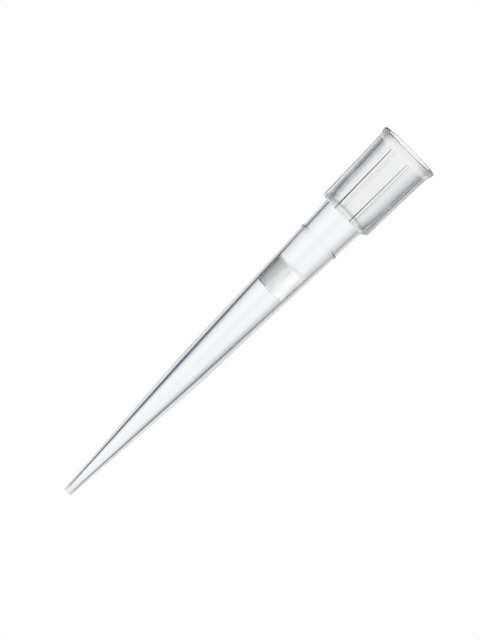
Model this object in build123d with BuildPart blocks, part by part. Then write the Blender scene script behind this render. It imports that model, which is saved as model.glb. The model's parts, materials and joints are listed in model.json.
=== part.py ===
from build123d import *
import os
from math import hypot, radians, tan

# A filter pipette tip of the 100 microlitre size: one moulded, clear body, and a porous plug
# pressed into its bore. The tip stands on its mouth. The origin is the middle of the mouth's
# rim, +Z runs along the bore to the point, and heights are measured from the rim.
# Sizes are in millimetres and angles in degrees.

# Lengths along the axis.
overall_length = 53.0
collar_length = 10.1
knee_height = 34.0  # where the long taper steepens

# The socket, which a pipette's cone wedges into.
seal_diameter = 5.28  # the straight land that grips the cone
seal_length = 1.5
seal_above_foot = 3.0  # from the land's deep end to the collar's foot
lead_in_depth = 2.0
mouth_widening = 0.41  # radius at the rim, over the land's
entry_widening = 0.18  # radius where the lead-in ends, over the land's
relief_widening = 0.03  # radius where the entry cone meets the groove, over the land's
relief_length = 0.35  # a tapered groove just ahead of the land
relief_depth = 0.06
relief_narrowing = 0.02

# The throat, from the land down to the bore of the neck.
throat_narrowing = 0.09  # radius where the funnel starts, under the land's
funnel_length = 1.6
funnel_narrowing = 0.28
funnel_past_foot = 0.1

# The bore from the neck to the orifice.
ledge_below_collar = 4.0  # an inner ledge that keeps the plug from riding up
ledge_depth = 0.075
chamber_step = 0.095  # radius just under the ledge, under the neck's bore
chamber_length = 1.8
chamber_narrowing = 0.055
seat_step = 0.035  # the step in to the plug's long taper
knee_bore = 2.5
orifice = 0.56

# Walls.
collar_wall = 0.71  # beside the land
collar_draft = 1.9
neck_wall = 0.375
knee_wall = 0.58
point_wall = 0.22

# The lip at the mouth, the collar's foot and the small edges.
lip_overhang = 0.16
lip_height = 0.35
flare_height = 1.1
flare_radius = 0.6
rim_radius = 0.12
rim_chamfer = 0.08  # the mouth's inner edge
foot_radius = 0.4
point_chamfer = 0.05

# A fine bead round the neck, level with the ledge.
bead_height = 0.3
bead_proud = 0.045

# Ribs on the collar, which rise further out of the wall towards its foot.
rib_count = 8
rib_start = 1.15
rib_crest_width = 0.3
rib_start_proud = 0.08
rib_proud = 0.18  # at the foot
rib_flank = 60.0  # how steeply a rib's sides leave the wall
rib_root = 0.45  # how deep the rib's section reaches into the wall
rib_end_chamfer = 0.23

# The plug.
plug_below_collar = 7.95
plug_length = 3.6
plug_clearance = 0.0  # it touches the bore all round
plug_chamfer = 0.12

# What follows from them.
foot = collar_length
seal_radius = seal_diameter / 2
seal_end = foot - seal_above_foot
seal_start = seal_end - seal_length
relief_start = seal_start - relief_length
throat_end = foot + funnel_past_foot
funnel_start = throat_end - funnel_length
ledge = foot + ledge_below_collar
seat_start = ledge + chamber_length
plug_start = foot + plug_below_collar
plug_end = plug_start + plug_length

relief_radius = seal_radius + relief_widening + relief_depth
funnel_radius = seal_radius - throat_narrowing
neck_radius = funnel_radius - funnel_narrowing
chamber_radius = neck_radius - chamber_step
chamber_end_radius = chamber_radius - chamber_narrowing
seat_radius = chamber_end_radius - seat_step


def straight(height, low, high):
    """The radius at a height on the straight line between two (radius, height) points."""
    share = (height - low[1]) / (high[1] - low[1])
    return low[0] + share * (high[0] - low[0])


def collar_radius(height):
    """The collar's outside, which narrows towards its foot by its draft."""
    seal_middle = (seal_start + seal_end) / 2
    return seal_radius + collar_wall + tan(radians(collar_draft)) * (seal_middle - height)


def long_taper(height):
    """The bore where the plug sits: one straight cone down to the knee."""
    return straight(height, (seat_radius, seat_start), (knee_bore / 2, knee_height))


def corner(sketch, point):
    """The corner of a profile that lies at this (radius, height)."""
    return sketch.vertices().sort_by_distance((*point, 0))[0]


# The bore, from the orifice up to the rim, as (radius, height).
bore = [
    (orifice / 2, overall_length),
    (knee_bore / 2, knee_height),
    (seat_radius, seat_start),
    (chamber_end_radius, seat_start),
    (chamber_radius, ledge),
    (chamber_radius - ledge_depth, ledge),
    (neck_radius, throat_end),
    (funnel_radius, funnel_start),
    (seal_radius, seal_end),
    (seal_radius, seal_start),
    (relief_radius - relief_narrowing, seal_start),
    (relief_radius, relief_start),
    (relief_radius - relief_depth, relief_start),
    (seal_radius + entry_widening, lead_in_depth),
    (seal_radius + mouth_widening, 0),
]

# The outside, from the rim down to the point.
lip_radius = collar_radius(0) + lip_overhang
neck_outside = (neck_radius + neck_wall, foot)
knee_outside = (knee_bore / 2 + knee_wall, knee_height)
point_outside = (orifice / 2 + point_wall, overall_length)
bead_top = ledge - bead_height / 2
bead_bottom = ledge + bead_height / 2
outside = [
    (lip_radius, 0),
    (lip_radius, lip_height),
    (collar_radius(flare_height), flare_height),
    (collar_radius(foot), foot),
    neck_outside,
    knee_outside,
    point_outside,
]

with BuildPart() as tip_body:
    with BuildSketch(Plane.XZ) as section:
        with BuildLine():
            Polyline(*bore, *outside, close=True)
        make_face()
        fillet(corner(section, outside[0]), rim_radius)
        chamfer(corner(section, bore[-1]), rim_chamfer)
        for flare_end in (outside[1], outside[2]):
            fillet(corner(section, flare_end), flare_radius)
        fillet(corner(section, outside[3]), foot_radius)
        chamfer(corner(section, point_outside), point_chamfer)
    revolve(axis=Axis.Z)

    # The bead: a low arc on the neck's outside.
    with BuildSketch(Plane.XZ):
        with BuildLine():
            above = (straight(bead_top, neck_outside, knee_outside), bead_top)
            below = (straight(bead_bottom, neck_outside, knee_outside), bead_bottom)
            root = neck_wall / 2
            SagittaArc(above, below, bead_proud)
            Polyline(below, (below[0] - root, bead_bottom), (above[0] - root, bead_top), above)
        make_face()
    revolve(axis=Axis.Z)

    # The ribs. A rib's section is the same at both ends, and stands further out of the wall
    # towards the foot. A turned shape then trims the ends of all the ribs along the foot's round.
    with BuildPart(mode=Mode.PRIVATE) as one_rib:
        for height, proud in ((rib_start, rib_start_proud), (foot, rib_proud)):
            crest = collar_radius(height) + proud
            flank_spread = rib_root / tan(radians(rib_flank))
            with BuildSketch(Plane.XY.offset(height)):
                with BuildLine():
                    Polyline(
                        (crest, -rib_crest_width / 2),
                        (crest, rib_crest_width / 2),
                        (crest - rib_root, rib_crest_width / 2 + flank_spread),
                        (crest - rib_root, -rib_crest_width / 2 - flank_spread),
                        close=True,
                    )
                make_face()
        loft()
    with BuildPart(mode=Mode.PRIVATE) as ribs:
        with PolarLocations(0, rib_count):
            add(one_rib.part)
        with BuildSketch(Plane.XZ) as rib_envelope:
            reach = hypot(collar_radius(foot) + rib_proud, rib_crest_width / 2) + 0.01
            with BuildLine():
                Polyline(
                    (neck_radius, 0),
                    (neck_radius, foot),
                    (reach, foot),
                    (reach + tan(radians(collar_draft)) * foot, 0),
                    close=True,
                )
            make_face()
            chamfer(corner(rib_envelope, (reach, foot)), rib_end_chamfer)
        revolve(axis=Axis.Z, mode=Mode.INTERSECT)
    add(ribs.part)
tip_body.part.label = "tip_body"

with BuildPart() as filter_plug:
    top = (long_taper(plug_start) - plug_clearance, plug_start)
    bottom = (long_taper(plug_end) - plug_clearance, plug_end)
    with BuildSketch(Plane.XZ) as plug_section:
        with BuildLine():
            Polyline((0, plug_start), top, bottom, (0, plug_end), close=True)
        make_face()
        for plug_edge in (top, bottom):
            chamfer(corner(plug_section, plug_edge), plug_chamfer)
    revolve(axis=Axis.Z)
filter_plug.part.label = "filter_plug"

os.makedirs("parts", exist_ok=True)
export_step(tip_body.part, "parts/tip_body.step")
export_step(filter_plug.part, "parts/filter_plug.step")
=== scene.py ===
"""A filter pipette tip: a clear moulded body and the porous plug in its bore.

The tip stands on its mouth, with its bore up +Z and one rib of its collar along +X.
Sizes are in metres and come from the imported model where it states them.
"""

import json
import math

import bmesh
import bpy
from bpy.props import FloatProperty, FloatVectorProperty, IntProperty, PointerProperty
from mathutils import Matrix, Vector, noise


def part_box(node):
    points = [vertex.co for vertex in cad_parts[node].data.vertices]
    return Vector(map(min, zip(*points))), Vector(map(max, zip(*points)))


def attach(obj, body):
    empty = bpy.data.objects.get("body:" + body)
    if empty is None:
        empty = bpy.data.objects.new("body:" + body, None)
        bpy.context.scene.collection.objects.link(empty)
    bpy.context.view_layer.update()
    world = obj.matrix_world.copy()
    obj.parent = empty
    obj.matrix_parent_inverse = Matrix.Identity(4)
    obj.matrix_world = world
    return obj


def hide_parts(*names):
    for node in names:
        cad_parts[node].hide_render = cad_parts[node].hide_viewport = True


bl_info = {
    "name": "Filter Pipette Tip",
    "version": (1, 0, 0),
    "blender": (4, 5, 0),
    "location": "3D View > Sidebar > Pipette Tip",
    "description": "Builds a clear pipette tip with its porous filter and a plain studio",
    "category": "Add Mesh",
}

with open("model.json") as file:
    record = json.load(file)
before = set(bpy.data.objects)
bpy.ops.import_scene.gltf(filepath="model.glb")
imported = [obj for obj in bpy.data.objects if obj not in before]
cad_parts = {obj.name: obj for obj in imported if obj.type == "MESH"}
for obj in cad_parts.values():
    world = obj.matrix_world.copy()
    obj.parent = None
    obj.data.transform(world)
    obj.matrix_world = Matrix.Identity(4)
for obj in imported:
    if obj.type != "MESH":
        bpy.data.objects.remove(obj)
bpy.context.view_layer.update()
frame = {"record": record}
BODY_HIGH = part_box("tip_body")[1]
PLUG_LOW, PLUG_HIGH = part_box("filter_plug")
MOUNTS = {mount["name"]: mount for mount in frame["record"]["mounts"]}
SOCKET = MOUNTS["cone_socket"]["dims"]
FOOT = MOUNTS["rack_shoulder"]["pos_m"][2]
MM = 0.001
HORIZON = -0.005  # the screens start this far below the horizon
FLOOR_RADIUS = 3.0

# How finely the meshes are divided, and the columns of half a rib and half the gap beside it.
BODY_EDGE = 0.8 * MM
FILTER_EDGE = 0.06 * MM
FILTER_STEPS = 200
CREST_COLUMNS, FLANK_COLUMNS, GAP_COLUMNS = 2, 3, 9
MOST_CUTS = 40
CRISP_ANGLE = math.radians(25)
GAP_SHARPNESS = 2.5  # how narrow the gaps between the filter's grains are
TINT_BLEND = 0.1 * MM  # half the height over which the collar's tint turns into the taper's

# Distances at which vertices count as one: across the mirror, between the patterned parts, at
# the filter's poles, and level with a height.
MIRROR_GAP, PATTERN_GAP, POLE_GAP, LEVEL = 1e-8, 2e-8, 1e-7, 1e-7

# How rough the moulded surface is outside the socket, by height in millimetres: a blasted lip,
# a soft collar, a blasted foot, a soft bead and a polished taper that dulls at its point.
ROUGHNESS_BY_HEIGHT = [
    (0.0, 0.4),
    (0.45, 0.4),
    (0.7, 0.2),
    (9.4, 0.2),
    (9.7, 0.35),
    (10.05, 0.35),
    (10.15, 0.05),
    (13.7, 0.05),
    (13.9, 0.14),
    (14.3, 0.14),
    (14.5, 0.05),
    (48.5, 0.05),
    (51.5, 0.14),
    (53.0, 0.28),
]

# How light the studio's screens are, from a dark flag at 0 to white at 1, by the angle round
# the tip in degrees from straight behind it.
SCREENS = [
    (-180, 0.5),
    (-150, 1.0),
    (-120, 1.0),
    (-100, 0.85),
    (-88, 0.35),
    (-78, 0.0),
    (-52, 0.0),
    (-42, 0.2),
    (-34, 0.45),
    (-26, 0.65),
    (-16, 0.96),
    (-8, 1.0),
    (0, 1.0),
    (10, 0.92),
    (18, 0.78),
    (26, 0.7),
    (34, 0.62),
    (42, 0.5),
    (50, 0.25),
    (58, 0.12),
    (86, 0.0),
    (98, 0.3),
    (115, 1.0),
    (150, 1.0),
    (180, 0.5),
]


def length(name, default, description):
    """A size that the sidebar shows in millimetres."""
    return FloatProperty(
        name=name,
        description=description,
        default=default,
        min=0.0,
        soft_max=0.1,
        precision=5,
        subtype="DISTANCE",
        unit="LENGTH",
    )


def turn(name, degrees, description):
    """An angle that the sidebar shows in degrees."""
    return FloatProperty(
        name=name,
        description=description,
        default=math.radians(degrees),
        subtype="ANGLE",
        unit="ROTATION",
    )


def number(name, default, description):
    """A plain number that is never negative."""
    return FloatProperty(name=name, description=description, default=default, min=0.0)


def colour(name, default, description):
    """A colour that the sidebar shows as a swatch."""
    return FloatVectorProperty(
        name=name,
        description=description,
        default=default,
        size=3,
        min=0.0,
        max=1.0,
        subtype="COLOR",
    )


class TipBodySizes(bpy.types.PropertyGroup):
    """Sizes of the moulded body."""

    overall_length: length("Overall Length", BODY_HIGH.z, "From the mouth's rim to the point")
    collar_length: length("Collar Length", FOOT, "From the rim to the shoulder under the collar")
    knee_height: length("Knee Height", 34 * MM, "Where the long taper steepens")
    seal_radius: length("Seal Radius", SOCKET["r_mm"] * MM, "Bore of the sealing land")
    seal_length: length("Seal Length", SOCKET["length_mm"] * MM, "Length of the sealing land")
    seal_above_foot: length("Seal Above Foot", 3.0 * MM, "From the land's deep end to the shoulder")
    lead_in_depth: length("Lead-in Depth", 2.0 * MM, "Depth of the wide lead-in at the mouth")
    mouth_widening: length("Mouth Widening", 0.41 * MM, "Radius at the rim over the land's")
    entry_widening: length("Entry Widening", 0.18 * MM, "Radius past the lead-in over the land's")
    relief_widening: length("Relief Widening", 0.03 * MM, "Radius at the groove over the land's")
    relief_length: length("Relief Length", 0.35 * MM, "Width of the groove ahead of the land")
    relief_depth: length("Relief Depth", 0.06 * MM, "Depth of the groove")
    relief_narrowing: length("Relief Narrowing", 0.02 * MM, "How the groove narrows to the land")
    throat_narrowing: length("Throat Narrowing", 0.09 * MM, "Radius at the funnel under the land's")
    funnel_length: length("Funnel Length", 1.6 * MM, "Length of the funnel into the neck")
    funnel_narrowing: length("Funnel Narrowing", 0.28 * MM, "Radius that the funnel takes off")
    funnel_past_foot: length("Funnel Past Foot", 0.1 * MM, "How far it runs past the shoulder")
    ledge_below_collar: length("Ledge Below Collar", 4.0 * MM, "From the shoulder to the ledge")
    ledge_depth: length("Ledge Depth", 0.075 * MM, "How far the ledge stands in")
    chamber_radius: length("Chamber Radius", 2.175 * MM, "Bore just under the ledge")
    chamber_length: length("Chamber Length", 1.8 * MM, "Length of the chamber under the ledge")
    chamber_narrowing: length("Chamber Narrowing", 0.055 * MM, "Radius that the chamber takes off")
    seat_step: length("Seat Step", 0.035 * MM, "The step in to the plug's taper")
    knee_bore_radius: length("Knee Bore Radius", 1.25 * MM, "Bore at the knee")
    orifice_radius: length("Orifice Radius", 0.28 * MM, "Bore at the point")
    collar_wall: length("Collar Wall", 0.71 * MM, "Wall beside the land")
    neck_wall: length("Neck Wall", 0.375 * MM, "Wall of the neck under the collar")
    knee_wall: length("Knee Wall", 0.58 * MM, "Wall at the knee")
    point_wall: length("Point Wall", 0.22 * MM, "Wall at the point")
    collar_draft: turn("Collar Draft", 1.9, "How the collar narrows towards its foot")
    lip_overhang: length("Lip Overhang", 0.16 * MM, "How far the lip stands out")
    lip_height: length("Lip Height", 0.35 * MM, "Height of the lip")
    flare_height: length("Flare Height", 1.1 * MM, "Where the flare under the lip ends")
    flare_round: length("Flare Round", 0.6 * MM, "Rounding at both ends of the flare")
    rim_round: length("Rim Round", 0.12 * MM, "Rounding of the mouth's rim")
    foot_round: length("Foot Round", 0.4 * MM, "Rounding of the collar's foot")
    point_chamfer: length("Point Chamfer", 0.05 * MM, "Chamfer at the point")
    bead_height: length("Bead Height", 0.3 * MM, "Height of the bead round the neck")
    bead_proud: length("Bead Proud", 0.045 * MM, "How far the bead stands out")


class CollarRibSizes(bpy.types.PropertyGroup):
    """Sizes of the ribs on the collar."""

    count: IntProperty(
        name="Ribs",
        description="How many ribs stand round the collar",
        default=8,
        min=3,
        max=16,
    )
    start: length("Start", 1.15 * MM, "Where the ribs grow out of the wall, from the rim")
    crest_width: length("Crest Width", 0.3 * MM, "Width of a rib's flat crest")
    start_proud: length("Start Proud", 0.08 * MM, "How far a rib stands out where it starts")
    proud: length("Proud", 0.18 * MM, "How far a rib stands out at the shoulder")
    flank: turn("Flank", 60, "Slope of a rib's sides")


class FilterSizes(bpy.types.PropertyGroup):
    """Sizes of the porous plug."""

    start: length("Start", PLUG_LOW.z, "The face towards the mouth")
    end: length("End", PLUG_HIGH.z, "The face towards the point")
    edge: length("Edge", 0.12 * MM, "Rounding of its two edges")
    air_gap: length("Air Gap", 0.006 * MM, "Film of air between the grains and the bore")
    grain: length("Grain", 0.16 * MM, "Size of the sintered grains")
    relief: length("Relief", 0.012 * MM, "Depth of the gaps between the grains")


class TipFinish(bpy.types.PropertyGroup):
    """Colours and surfaces."""

    plastic: colour("Plastic", (0.974, 0.977, 0.985), "Tint of the clear plastic")
    collar: colour("Collar", (0.962, 0.964, 0.966), "Tint of the collar, where the wall is thick")
    haze_tint: colour("Haze Tint", (0.0, 0.03, 0.02), "What the thickness of the plastic lets past")
    haze: number("Haze", 10.0, "How much light a metre of the plastic holds back")
    refraction: number("Refraction", 1.49, "Index of refraction of the plastic")
    socket_rough: number("Socket Roughness", 0.05, "Roughness of the polished socket")
    grains: colour("Grains", (0.9, 0.9, 0.895), "The porous filter")
    grain_rough: number("Grain Roughness", 0.9, "Roughness of the filter")
    fine_grains: number("Fine Grains", 7000.0, "How many of the finest grains span a metre")
    fine_strength: number("Fine Strength", 0.25, "How strongly the finest grains show")
    fine_relief: length("Fine Relief", 0.02 * MM, "Depth of the finest grains")
    floor: colour("Floor", (0.98, 0.98, 0.98), "The studio floor")
    cool_flag: colour("Cool Flag", (0.04, 0.085, 0.125), "Dark flag at one side of the backdrop")
    grey_flag: colour("Grey Flag", (0.02, 0.065, 0.09), "Dark flag at the other side")


class StudioSettings(bpy.types.PropertyGroup):
    """Camera and studio."""

    azimuth: turn("Azimuth", 17.5, "Where the camera stands round the tip")
    elevation: turn("Elevation", -4.75, "How far the camera stands above the tip's middle")
    roll: turn("Roll", 134.94, "How far the camera is rolled about its line of sight")
    distance: length("Distance", 2.0, "From the camera to the tip's middle")
    field_height: length("Field Height", 69.9 * MM, "Height of the view at the tip")
    aim_height: length("Aim Height", 26.27 * MM, "Height on the tip that the camera looks at")
    key_side: turn("Key Side", 147, "Where the key light stands, from straight behind the tip")
    key_edge: number("Key Edge", 0.85, "Cosine of the angle at which the key light ends")
    key: number("Key", 32.0, "Strength of the key light on matt surfaces")
    top_edge: number("Top Edge", 0.6, "Cosine of the angle at which the light from above ends")
    top: number("Top", 2.2, "Strength of the light from above on matt surfaces")
    fill: number("Fill", 0.05, "Strength of the light from every side on matt surfaces")
    # The spot and the wedge are painted light: the floor glows there, for matt surfaces only, as a
    # lamp would.
    spot: number("Spot", 2.6, "Strength of the lit floor under the tip on matt surfaces")
    spot_start: length("Spot Start", 20 * MM, "Where the lit spot of floor starts to fade")
    spot_end: length("Spot End", 40 * MM, "Where the lit spot of floor has faded out")
    wedge: number("Wedge", 3.4, "Strength of the lit floor behind the tip on matt surfaces")
    wedge_start: number("Wedge Start", 0.4, "Cosine of the angle at which the wedge starts")
    wedge_end: number("Wedge End", 0.9, "Cosine of the angle at which the wedge is fully lit")


# ---- shared making -------------------------------------------------------------------------


def polyline(bm, corners):
    """A wire through (radius, height) corners, as vertices in order."""
    verts = [bm.verts.new((radius, 0, height)) for radius, height in corners]
    for one, other in zip(verts, verts[1:]):
        bm.edges.new((one, other))
    return verts


def round_corner(bm, corner, radius, segments):
    """Rounds one corner of a wire."""
    one, other = [edge.other_vert(corner).co - corner.co for edge in corner.link_edges]
    bend = math.pi - one.angle(other)
    bmesh.ops.bevel(
        bm,
        geom=[corner],
        offset=radius * math.tan(bend / 2),
        affect="VERTICES",
        segments=segments,
        profile=0.5,
        material=-1,
    )


def divide_long_edges(bm, longest):
    """Cuts each edge of a wire into pieces no longer than this."""
    for cuts in range(1, MOST_CUTS):
        shortest_cut, longest_cut = cuts * longest, (cuts + 1) * longest
        edges = [edge for edge in bm.edges if shortest_cut < edge.calc_length() <= longest_cut]
        if edges:
            bmesh.ops.subdivide_edges(bm, edges=edges, cuts=cuts)


def spin(bm, geom, angle, steps, **settings):
    """Spins geometry round the tip's axis."""
    return bmesh.ops.spin(
        bm,
        geom=geom,
        cent=(0, 0, 0),
        axis=(0, 0, 1),
        dvec=(0, 0, 0),
        angle=angle,
        steps=steps,
        **settings,
    )


def everything(bm):
    """All that a mesh holds, as the mesh tools take it."""
    return bm.verts[:] + bm.edges[:] + bm.faces[:]


def finished(bm, name, material, replaced):
    """The piece as an object that rides on the body and stands for a node of the model."""
    mesh = bpy.data.meshes.new(name)
    bm.to_mesh(mesh)
    bm.free()
    mesh.materials.append(material)
    piece = bpy.data.objects.new(name, mesh)
    bpy.context.scene.collection.objects.link(piece)
    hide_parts(replaced)
    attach(piece, "root")
    return piece


# ---- shared shading ------------------------------------------------------------------------


def node(tree, kind, inputs=None, **settings):
    """A shader node with its settings and its socket values or links."""
    made = tree.nodes.new(kind)
    for name, value in settings.items():
        setattr(made, name, value)
    for name, value in (inputs or {}).items():
        socket = made.inputs[name]
        if isinstance(value, bpy.types.NodeSocket):
            tree.links.new(value, socket)
        else:
            socket.default_value = value
    return made


def maths(tree, operation, one, other, **settings):
    """The answer of a Math node for two values."""
    made = node(tree, "ShaderNodeMath", {0: one, 1: other}, operation=operation, **settings)
    return made.outputs["Value"]


def along_range(tree, value, start, end, low=0.0, high=1.0, **settings):
    """A value that runs from low to high while another runs from start to end."""
    limits = {"From Min": start, "From Max": end, "To Min": low, "To Max": high}
    made = node(tree, "ShaderNodeMapRange", {"Value": value, **limits}, **settings)
    return made.outputs["Result"]


def mixed(tree, factor, one, other):
    """Two colours, mixed."""
    inputs = {"Factor": factor, "A": one, "B": other}
    made = node(tree, "ShaderNodeMix", inputs, data_type="RGBA")
    return next(output for output in made.outputs if output.type == "RGBA")


def ramp(tree, value, stops):
    """A colour that follows a value through (position, colour) stops."""
    made = node(tree, "ShaderNodeValToRGB", {"Fac": value})
    elements = made.color_ramp.elements
    for _ in stops[2:]:
        elements.new(0.5)
    for element, (position, tone) in zip(elements, stops):
        element.position = position
        element.color = tone
    return made.outputs["Color"]


def facing(tree, direction, target):
    """The cosine of the angle between a direction and a target."""
    made = node(tree, "ShaderNodeVectorMath", {0: direction, 1: target}, operation="DOT_PRODUCT")
    return made.outputs["Value"]


def empty_material(name):
    """A material with its shader and its output, and nothing else."""
    material = bpy.data.materials.new(name)
    material.use_nodes = True
    tree = material.node_tree
    tree.nodes.clear()
    output = node(tree, "ShaderNodeOutputMaterial")
    shader = node(tree, "ShaderNodeBsdfPrincipled")
    tree.links.new(shader.outputs["BSDF"], output.inputs["Surface"])
    return material, tree, shader, output


# ---- the moulded body ----------------------------------------------------------------------


def line_between(height, low, high):
    """The radius at a height on the line between two (radius, height) points."""
    return low[0] + (high[0] - low[0]) * (height - low[1]) / (high[1] - low[1])


def collar_radius(sizes, height):
    """The collar's outside, which narrows towards its foot."""
    seal_end = sizes.collar_length - sizes.seal_above_foot
    middle = seal_end - sizes.seal_length / 2
    return sizes.seal_radius + sizes.collar_wall + math.tan(sizes.collar_draft) * (middle - height)


def long_taper(sizes, height):
    """The bore from the plug's seat to the knee."""
    seat = sizes.collar_length + sizes.ledge_below_collar + sizes.chamber_length
    radius = sizes.chamber_radius - sizes.chamber_narrowing - sizes.seat_step
    return line_between(height, (radius, seat), (sizes.knee_bore_radius, sizes.knee_height))


def bore_corners(sizes):
    """The bore, from the orifice up to the rim."""
    foot, seal = sizes.collar_length, sizes.seal_radius
    seal_end = foot - sizes.seal_above_foot
    seal_start = seal_end - sizes.seal_length
    relief_start = seal_start - sizes.relief_length
    relief = seal + sizes.relief_widening + sizes.relief_depth
    throat_end = foot + sizes.funnel_past_foot
    funnel = seal - sizes.throat_narrowing
    ledge = foot + sizes.ledge_below_collar
    seat = ledge + sizes.chamber_length
    chamber_end = sizes.chamber_radius - sizes.chamber_narrowing
    return [
        (sizes.orifice_radius, sizes.overall_length),
        (sizes.knee_bore_radius, sizes.knee_height),
        (chamber_end - sizes.seat_step, seat),
        (chamber_end, seat),
        (sizes.chamber_radius, ledge),
        (sizes.chamber_radius - sizes.ledge_depth, ledge),
        (funnel - sizes.funnel_narrowing, throat_end),
        (funnel, throat_end - sizes.funnel_length),
        (seal, seal_end),
        (seal, seal_start),
        (relief - sizes.relief_narrowing, seal_start),
        (relief, relief_start),
        (relief - sizes.relief_depth, relief_start),
        (seal + sizes.entry_widening, sizes.lead_in_depth),
        (seal + sizes.mouth_widening, 0),
    ]


def outside_corners(sizes):
    """The outside, from the rim down to the point, with the bead round the neck."""
    foot = sizes.collar_length
    neck_bore = sizes.seal_radius - sizes.throat_narrowing - sizes.funnel_narrowing
    neck = (neck_bore + sizes.neck_wall, foot)
    knee = (sizes.knee_bore_radius + sizes.knee_wall, sizes.knee_height)
    bead = foot + sizes.ledge_below_collar
    above, below = bead - sizes.bead_height / 2, bead + sizes.bead_height / 2
    lip = collar_radius(sizes, 0) + sizes.lip_overhang
    return [
        (lip, 0),
        (lip, sizes.lip_height),
        (collar_radius(sizes, sizes.flare_height), sizes.flare_height),
        (collar_radius(sizes, foot), foot),
        neck,
        (line_between(above, neck, knee), above),
        # The bead's crest starts sharp, and its rounding lowers it.
        (line_between(bead, neck, knee) + 2 * sizes.bead_proud, bead),
        (line_between(below, neck, knee), below),
        knee,
        (sizes.orifice_radius + sizes.point_wall, sizes.overall_length),
    ]


def body_section(bm, sizes):
    """The closed section of the wall as a wire, with its corners rounded."""
    bore, outside = bore_corners(sizes), outside_corners(sizes)
    verts = polyline(bm, bore + outside)
    bm.edges.new((verts[-1], verts[0]))
    rim_inside, rim_outside = verts[len(bore) - 1], verts[len(bore)]
    lip_edge, flare_end, foot_edge = verts[len(bore) + 1 : len(bore) + 4]
    bead_crest, point_edge = verts[len(bore) + 6], verts[-1]
    for corner, radius, segments in (
        (rim_inside, sizes.rim_round, 6),
        (rim_outside, sizes.rim_round, 6),
        (lip_edge, sizes.flare_round, 4),
        (flare_end, sizes.flare_round, 4),
        (foot_edge, sizes.foot_round, 10),
        (bead_crest, sizes.bead_height / 2, 6),
        (point_edge, sizes.point_chamfer, 2),
    ):
        round_corner(bm, corner, radius, segments)
    divide_long_edges(bm, BODY_EDGE)


def raise_rib(bm, column, sizes, ribs):
    """Moves columns out to half a rib's crest and flank, and spreads the rest behind them."""
    root_column = CREST_COLUMNS + FLANK_COLUMNS
    half_crest = ribs.crest_width / 2
    half_pitch = math.pi / ribs.count
    foot = sizes.collar_length
    slope = math.tan(ribs.flank)
    for vert in bm.verts:
        height, radius = vert.co.z, math.hypot(vert.co.x, vert.co.y)
        # The foot's round reaches in from the collar's outside by no more than its own radius.
        on_outside = radius > collar_radius(sizes, height) - sizes.foot_round * 1.01
        if not (on_outside and ribs.start - LEVEL <= height <= foot + LEVEL):
            continue
        share = (height - ribs.start) / (foot - ribs.start)
        crest = radius + ribs.start_proud + (ribs.proud - ribs.start_proud) * share
        # The flank meets the round wall where its line cuts the circle.
        reach = crest + slope * half_crest
        spread = 1 + slope**2
        root_y = (slope * reach - math.sqrt(spread * radius**2 - reach**2)) / spread
        place = vert[column]
        if place <= CREST_COLUMNS:
            vert.co.x, vert.co.y = crest, half_crest * place / CREST_COLUMNS
        elif place <= root_column:
            along = (place - CREST_COLUMNS) / FLANK_COLUMNS
            vert.co.y = half_crest + (root_y - half_crest) * along
            vert.co.x = reach - slope * vert.co.y
        else:
            root_angle = math.asin(root_y / radius)
            along = (place - root_column) / GAP_COLUMNS
            angle = root_angle + (half_pitch - root_angle) * along
            vert.co.x, vert.co.y = radius * math.cos(angle), radius * math.sin(angle)


def make_body_mesh(sizes, ribs):
    """Half a rib and half the gap beside it, spun, mirrored and patterned round the axis."""
    bm = bmesh.new()
    body_section(bm, sizes)
    column = bm.verts.layers.int.new("column")
    foot_radius = collar_radius(sizes, sizes.collar_length)
    crest_angle = ribs.crest_width / 2 / foot_radius
    flank_angle = ribs.proud / math.tan(ribs.flank) / foot_radius
    gap_angle = math.pi / ribs.count - crest_angle - flank_angle
    slices = (
        [crest_angle / CREST_COLUMNS] * CREST_COLUMNS
        + [flank_angle / FLANK_COLUMNS] * FLANK_COLUMNS
        + [gap_angle / GAP_COLUMNS] * GAP_COLUMNS
    )
    loop = bm.verts[:] + bm.edges[:]
    for place, angle in enumerate(slices, 1):
        loop = spin(bm, loop, angle, 1)["geom_last"]
        for item in loop:
            if isinstance(item, bmesh.types.BMVert):
                item[column] = place
    raise_rib(bm, column, sizes, ribs)
    flat = Matrix.Identity(4)
    bmesh.ops.mirror(bm, geom=everything(bm), matrix=flat, merge_dist=MIRROR_GAP, axis="Y")
    bmesh.ops.recalc_face_normals(bm, faces=bm.faces[:])
    others = ribs.count - 1
    spin(bm, everything(bm), math.tau * others / ribs.count, others, use_duplicate=True)
    bmesh.ops.remove_doubles(bm, verts=bm.verts[:], dist=PATTERN_GAP)
    bmesh.ops.recalc_face_normals(bm, faces=bm.faces[:])
    return bm


def mark_socket(bm, throat):
    """Marks the vertices of the socket's wall, which its material reads."""
    socket = bm.verts.layers.float.new("socket")
    for face in bm.faces:
        middle = face.calc_center_median()
        inward = face.normal.x * middle.x + face.normal.y * middle.y < 0
        if inward and middle.z < throat:
            for vert in face.verts:
                vert[socket] = 1.0


def shade_smooth(bm, crisp):
    """Shades the mesh smooth, and keeps an edge crisp where it turns by more than this."""
    for face in bm.faces:
        face.smooth = True
    for edge in bm.edges:
        if len(edge.link_faces) == 2:
            edge.smooth = edge.calc_face_angle() < crisp


class PIPETTE_OT_tip_body(bpy.types.Operator):
    """Build the clear moulded body: collar, ribs, socket, neck and long taper"""

    bl_idname = "pipette.tip_body"
    bl_label = "Tip Body"
    bl_options = {"REGISTER", "UNDO"}

    def execute(self, context):
        sizes = context.scene.tip_body
        bm = make_body_mesh(sizes, context.scene.collar_ribs)
        mark_socket(bm, sizes.collar_length + sizes.funnel_past_foot)
        shade_smooth(bm, CRISP_ANGLE)
        plastic = clear_plastic(context.scene.tip_finish)
        finished(bm, "clear_body", plastic, "tip_body")
        return {"FINISHED"}


# ---- the filter ----------------------------------------------------------------------------


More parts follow.
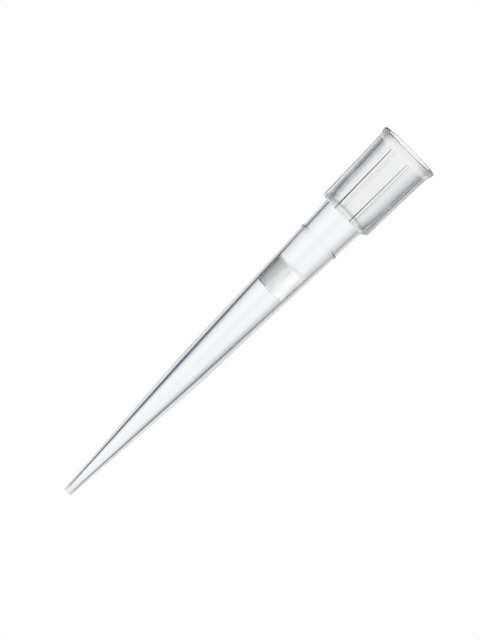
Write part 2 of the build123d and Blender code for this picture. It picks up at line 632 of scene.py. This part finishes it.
def grain_gap(place):
    """How deep the surface lies between the sintered grains, from 0 on a grain to 1 in a gap."""
    near, far = noise.voronoi(place)[0][:2]
    return max(0.0, 1.0 - (far - near) * GAP_SHARPNESS)


def make_filter_mesh(body, sizes):
    """A plug in the long taper, with its surface sunk between the grains."""
    bm = bmesh.new()
    top = (long_taper(body, sizes.start) - sizes.air_gap, sizes.start)
    bottom = (long_taper(body, sizes.end) - sizes.air_gap, sizes.end)
    verts = polyline(bm, [(0, sizes.start), top, bottom, (0, sizes.end)])
    for corner in verts[1:3]:
        round_corner(bm, corner, sizes.edge, 5)
    divide_long_edges(bm, FILTER_EDGE)
    spin(bm, bm.verts[:] + bm.edges[:], math.tau, FILTER_STEPS, use_merge=True)
    bmesh.ops.remove_doubles(bm, verts=bm.verts[:], dist=POLE_GAP)
    bmesh.ops.recalc_face_normals(bm, faces=bm.faces[:])
    bm.normal_update()
    sink = {vert: grain_gap(vert.co / sizes.grain) * sizes.relief for vert in bm.verts}
    for vert, depth in sink.items():
        vert.co -= vert.normal * depth
    for face in bm.faces:
        face.smooth = True
    return bm


class PIPETTE_OT_filter(bpy.types.Operator):
    """Build the porous plug that is pressed into the bore"""

    bl_idname = "pipette.filter"
    bl_label = "Filter"
    bl_options = {"REGISTER", "UNDO"}

    def execute(self, context):
        bm = make_filter_mesh(context.scene.tip_body, context.scene.tip_filter)
        plastic = porous_plastic(context.scene.tip_finish)
        finished(bm, "porous_filter", plastic, "filter_plug")
        return {"FINISHED"}


# ---- finishes ------------------------------------------------------------------------------


def clear_plastic(finish):
    """Clear polypropylene: glossy, a little hazy, and duller where its mould was blasted."""
    material, tree, shader, output = empty_material("clear_polypropylene")
    place = node(tree, "ShaderNodeTexCoord").outputs["Object"]
    height = node(tree, "ShaderNodeSeparateXYZ", {"Vector": place}).outputs["Z"]
    below = along_range(tree, height, FOOT - TINT_BLEND, FOOT + TINT_BLEND)
    tint = mixed(tree, below, (*finish.collar, 1), (*finish.plastic, 1))
    tree.links.new(tint, shader.inputs["Base Color"])
    share = along_range(tree, height, 0.0, BODY_HIGH.z)
    stops = [
        (mm * MM / BODY_HIGH.z, (rough, rough, rough, 1)) for mm, rough in ROUGHNESS_BY_HEIGHT
    ]
    outside = ramp(tree, share, stops)
    socket = node(tree, "ShaderNodeAttribute", attribute_name="socket").outputs["Fac"]
    rough = along_range(tree, socket, 0.0, 1.0, outside, finish.socket_rough)
    tree.links.new(rough, shader.inputs["Roughness"])
    shader.inputs["IOR"].default_value = finish.refraction
    shader.inputs["Transmission Weight"].default_value = 1.0
    thickness = {"Color": (*finish.haze_tint, 1), "Density": finish.haze}
    haze = node(tree, "ShaderNodeVolumeAbsorption", thickness)
    tree.links.new(haze.outputs["Volume"], output.inputs["Volume"])
    return material


def porous_plastic(finish):
    """Sintered polyethylene: white, matt and grainy."""
    material, tree, shader, _ = empty_material("porous_polyethylene")
    place = node(tree, "ShaderNodeTexCoord").outputs["Object"]
    pattern = {"Vector": place, "Scale": finish.fine_grains}
    grains = node(tree, "ShaderNodeTexVoronoi", pattern, feature="F1").outputs["Distance"]
    relief = {"Height": grains, "Strength": finish.fine_strength, "Distance": finish.fine_relief}
    bump = node(tree, "ShaderNodeBump", relief)
    tree.links.new(bump.outputs["Normal"], shader.inputs["Normal"])
    shader.inputs["Base Color"].default_value = (*finish.grains, 1)
    shader.inputs["Roughness"].default_value = finish.grain_rough
    return material


# ---- the studio ----------------------------------------------------------------------------


def floor_light(tree, ray, settings):
    """What matt surfaces get from the floor: a painted glow, a spot under the tip and a wedge
    behind it, which lights them as lamps would, and nothing elsewhere.
    """
    place = node(tree, "ShaderNodeTexCoord").outputs["Object"]
    away = node(tree, "ShaderNodeVectorMath", {0: place}, operation="LENGTH").outputs["Value"]
    spot = along_range(tree, away, settings.spot_start, settings.spot_end, settings.spot, 0.0)
    behind = Vector((-math.sin(settings.azimuth), math.cos(settings.azimuth), 0))
    way = node(tree, "ShaderNodeVectorMath", {0: place}, operation="NORMALIZE")
    toward = facing(tree, way.outputs["Vector"], behind)
    start, end = settings.wedge_start, settings.wedge_end
    wedge = along_range(tree, toward, start, end, 0.0, settings.wedge)
    brighter = maths(tree, "MAXIMUM", spot, wedge)
    return along_range(tree, ray.outputs["Diffuse Depth"], 0.0, 1.0, 1.0, brighter)


def studio_floor(finish, settings):
    """A pale disc that shows only its upper side."""
    bm = bmesh.new()
    bmesh.ops.create_circle(bm, cap_ends=True, segments=96, radius=FLOOR_RADIUS)
    mesh = bpy.data.meshes.new("floor")
    bm.to_mesh(mesh)
    bm.free()
    material, tree, shader, output = empty_material("floor")
    shader.inputs["Base Color"].default_value = (*finish.floor, 1)
    shader.inputs["Roughness"].default_value = 1.0
    shader.inputs["Specular IOR Level"].default_value = 0.0
    # Clear plastic shows a plain white floor, matt surfaces see the painted glow of floor_light,
    # and the eye sees the floor with the tip's shadow.
    ray = node(tree, "ShaderNodeLightPath")
    bent, matt = ray.outputs["Is Transmission Ray"], ray.outputs["Is Diffuse Ray"]
    through = maths(tree, "MAXIMUM", bent, matt)
    light = {"Color": (*finish.floor, 1), "Strength": floor_light(tree, ray, settings)}
    glow = node(tree, "ShaderNodeEmission", light).outputs["Emission"]
    lit = node(tree, "ShaderNodeMixShader", {0: through, 1: shader.outputs["BSDF"], 2: glow})
    under = node(tree, "ShaderNodeNewGeometry").outputs["Backfacing"]
    clear = node(tree, "ShaderNodeBsdfTransparent").outputs["BSDF"]
    mix = node(tree, "ShaderNodeMixShader", {0: under, 1: lit.outputs["Shader"], 2: clear})
    tree.links.new(mix.outputs["Shader"], output.inputs["Surface"])
    mesh.materials.append(material)
    floor = bpy.data.objects.new("floor", mesh)
    bpy.context.scene.collection.objects.link(floor)


def screen_tones(tree, parts, finish):
    """The pale and dark screens that stand round the tip, by the angle from behind it."""
    angle = maths(tree, "ARCTAN2", parts["Y"], parts["X"])
    share = along_range(tree, angle, -math.pi, math.pi)
    stops = []
    for degrees, tone in SCREENS:
        flag = finish.cool_flag if degrees < 0 else finish.grey_flag
        stops.append(((degrees + 180) / 360, [dark + (1 - dark) * tone for dark in flag] + [1]))
    return ramp(tree, share, stops)


def lamp_light(tree, direction, parts, settings):
    """The lamps that matt surfaces are lit by: a key at one side, a top light and a weak fill."""
    key = Vector((math.cos(settings.key_side), math.sin(settings.key_side), 0))
    soft = {"interpolation_type": "SMOOTHSTEP"}
    toward_key = facing(tree, direction, key)
    key_light = along_range(tree, toward_key, settings.key_edge, 1.0, 0.0, settings.key, **soft)
    start, low, high = settings.top_edge, settings.fill, settings.top
    top_light = along_range(tree, parts["Z"], start, 1.0, low, high, **soft)
    return maths(tree, "ADD", key_light, top_light)


def studio_world(finish, settings):
    """White all round to the eye, with screens that clear plastic bends and lamps for the rest."""
    world = bpy.data.worlds.new("studio")
    bpy.context.scene.world = world
    world.use_nodes = True
    tree = world.node_tree
    tree.nodes.clear()
    ray = node(tree, "ShaderNodeLightPath").outputs
    # Directions are turned so that +X points straight behind the tip.
    behind = settings.azimuth + math.pi / 2
    view = node(tree, "ShaderNodeTexCoord").outputs["Generated"]
    turned = node(
        tree,
        "ShaderNodeVectorRotate",
        {"Vector": view, "Axis": (0, 0, 1), "Angle": -behind},
        rotation_type="AXIS_ANGLE",
    )
    direction = turned.outputs["Vector"]
    parts = node(tree, "ShaderNodeSeparateXYZ", {"Vector": direction}).outputs
    # Only light that the plastic bends or mirrors straight to the eye meets the screens.
    above = maths(tree, "GREATER_THAN", parts["Z"], HORIZON)
    bent = maths(tree, "SUBTRACT", above, ray["Is Camera Ray"], use_clamp=True)
    straight = maths(tree, "LESS_THAN", ray["Diffuse Depth"], 0.5)
    meets = maths(tree, "MULTIPLY", bent, straight)
    matt = maths(tree, "SUBTRACT", 1.0, straight)
    light = mixed(tree, matt, (1, 1, 1, 1), lamp_light(tree, direction, parts, settings))
    tone = mixed(tree, meets, light, screen_tones(tree, parts, finish))
    background = node(tree, "ShaderNodeBackground", {"Color": tone, "Strength": 1.0})
    output = node(tree, "ShaderNodeOutputWorld")
    tree.links.new(background.outputs["Background"], output.inputs["Surface"])


def studio_camera(settings):
    """A long lens, as product pictures of small parts are taken with."""
    data = bpy.data.cameras.new("camera")
    camera = bpy.data.objects.new("camera", data)
    bpy.context.scene.collection.objects.link(camera)
    aim = Vector((0, 0, settings.aim_height))
    back = Vector(
        (
            math.sin(settings.azimuth) * math.cos(settings.elevation),
            -math.cos(settings.azimuth) * math.cos(settings.elevation),
            math.sin(settings.elevation),
        )
    )
    upright = (-back).to_track_quat("-Z", "Y").to_matrix().to_4x4()
    rolled = upright @ Matrix.Rotation(-settings.roll, 4, "Z")
    data.sensor_width = 36.0
    data.lens = data.sensor_width * settings.distance / settings.field_height
    data.clip_start, data.clip_end = 0.01, 20.0
    camera.matrix_world = Matrix.Translation(aim + back * settings.distance) @ rolled
    bpy.context.scene.camera = camera


class PIPETTE_OT_studio(bpy.types.Operator):
    """Set up the pale floor, the lamps and screens, and the camera"""

    bl_idname = "pipette.studio"
    bl_label = "Studio"
    bl_options = {"REGISTER", "UNDO"}

    def execute(self, context):
        finish, settings = context.scene.tip_finish, context.scene.tip_studio
        studio_floor(finish, settings)
        studio_world(finish, settings)
        studio_camera(settings)
        context.scene.view_settings.view_transform = "Standard"
        return {"FINISHED"}


# ---- the sidebar ---------------------------------------------------------------------------


class PIPETTE_PT_tip(bpy.types.Panel):
    """The tip's pieces and their sizes"""

    bl_idname = "PIPETTE_PT_tip"
    bl_label = "Filter Pipette Tip"
    bl_space_type = "VIEW_3D"
    bl_region_type = "UI"
    bl_category = "Pipette Tip"

    def draw(self, context):
        for operator, group in (
            ("pipette.tip_body", context.scene.tip_body),
            (None, context.scene.collar_ribs),
            ("pipette.filter", context.scene.tip_filter),
            (None, context.scene.tip_finish),
            ("pipette.studio", context.scene.tip_studio),
        ):
            box = self.layout.box()
            if operator:
                box.operator(operator)
            for name in group.__annotations__:
                box.prop(group, name)


GROUPS = {
    "tip_body": TipBodySizes,
    "collar_ribs": CollarRibSizes,
    "tip_filter": FilterSizes,
    "tip_finish": TipFinish,
    "tip_studio": StudioSettings,
}
OPERATORS = (PIPETTE_OT_tip_body, PIPETTE_OT_filter, PIPETTE_OT_studio)
CLASSES = (*GROUPS.values(), *OPERATORS, PIPETTE_PT_tip)


def register():
    for kind in CLASSES:
        bpy.utils.register_class(kind)
    for name, group in GROUPS.items():
        setattr(bpy.types.Scene, name, PointerProperty(type=group))


def unregister():
    for name in GROUPS:
        delattr(bpy.types.Scene, name)
    for kind in reversed(CLASSES):
        bpy.utils.unregister_class(kind)


def main():
    register()
    bpy.ops.pipette.tip_body()
    bpy.ops.pipette.filter()
    bpy.ops.pipette.studio()


if __name__ == "__main__":
    main()
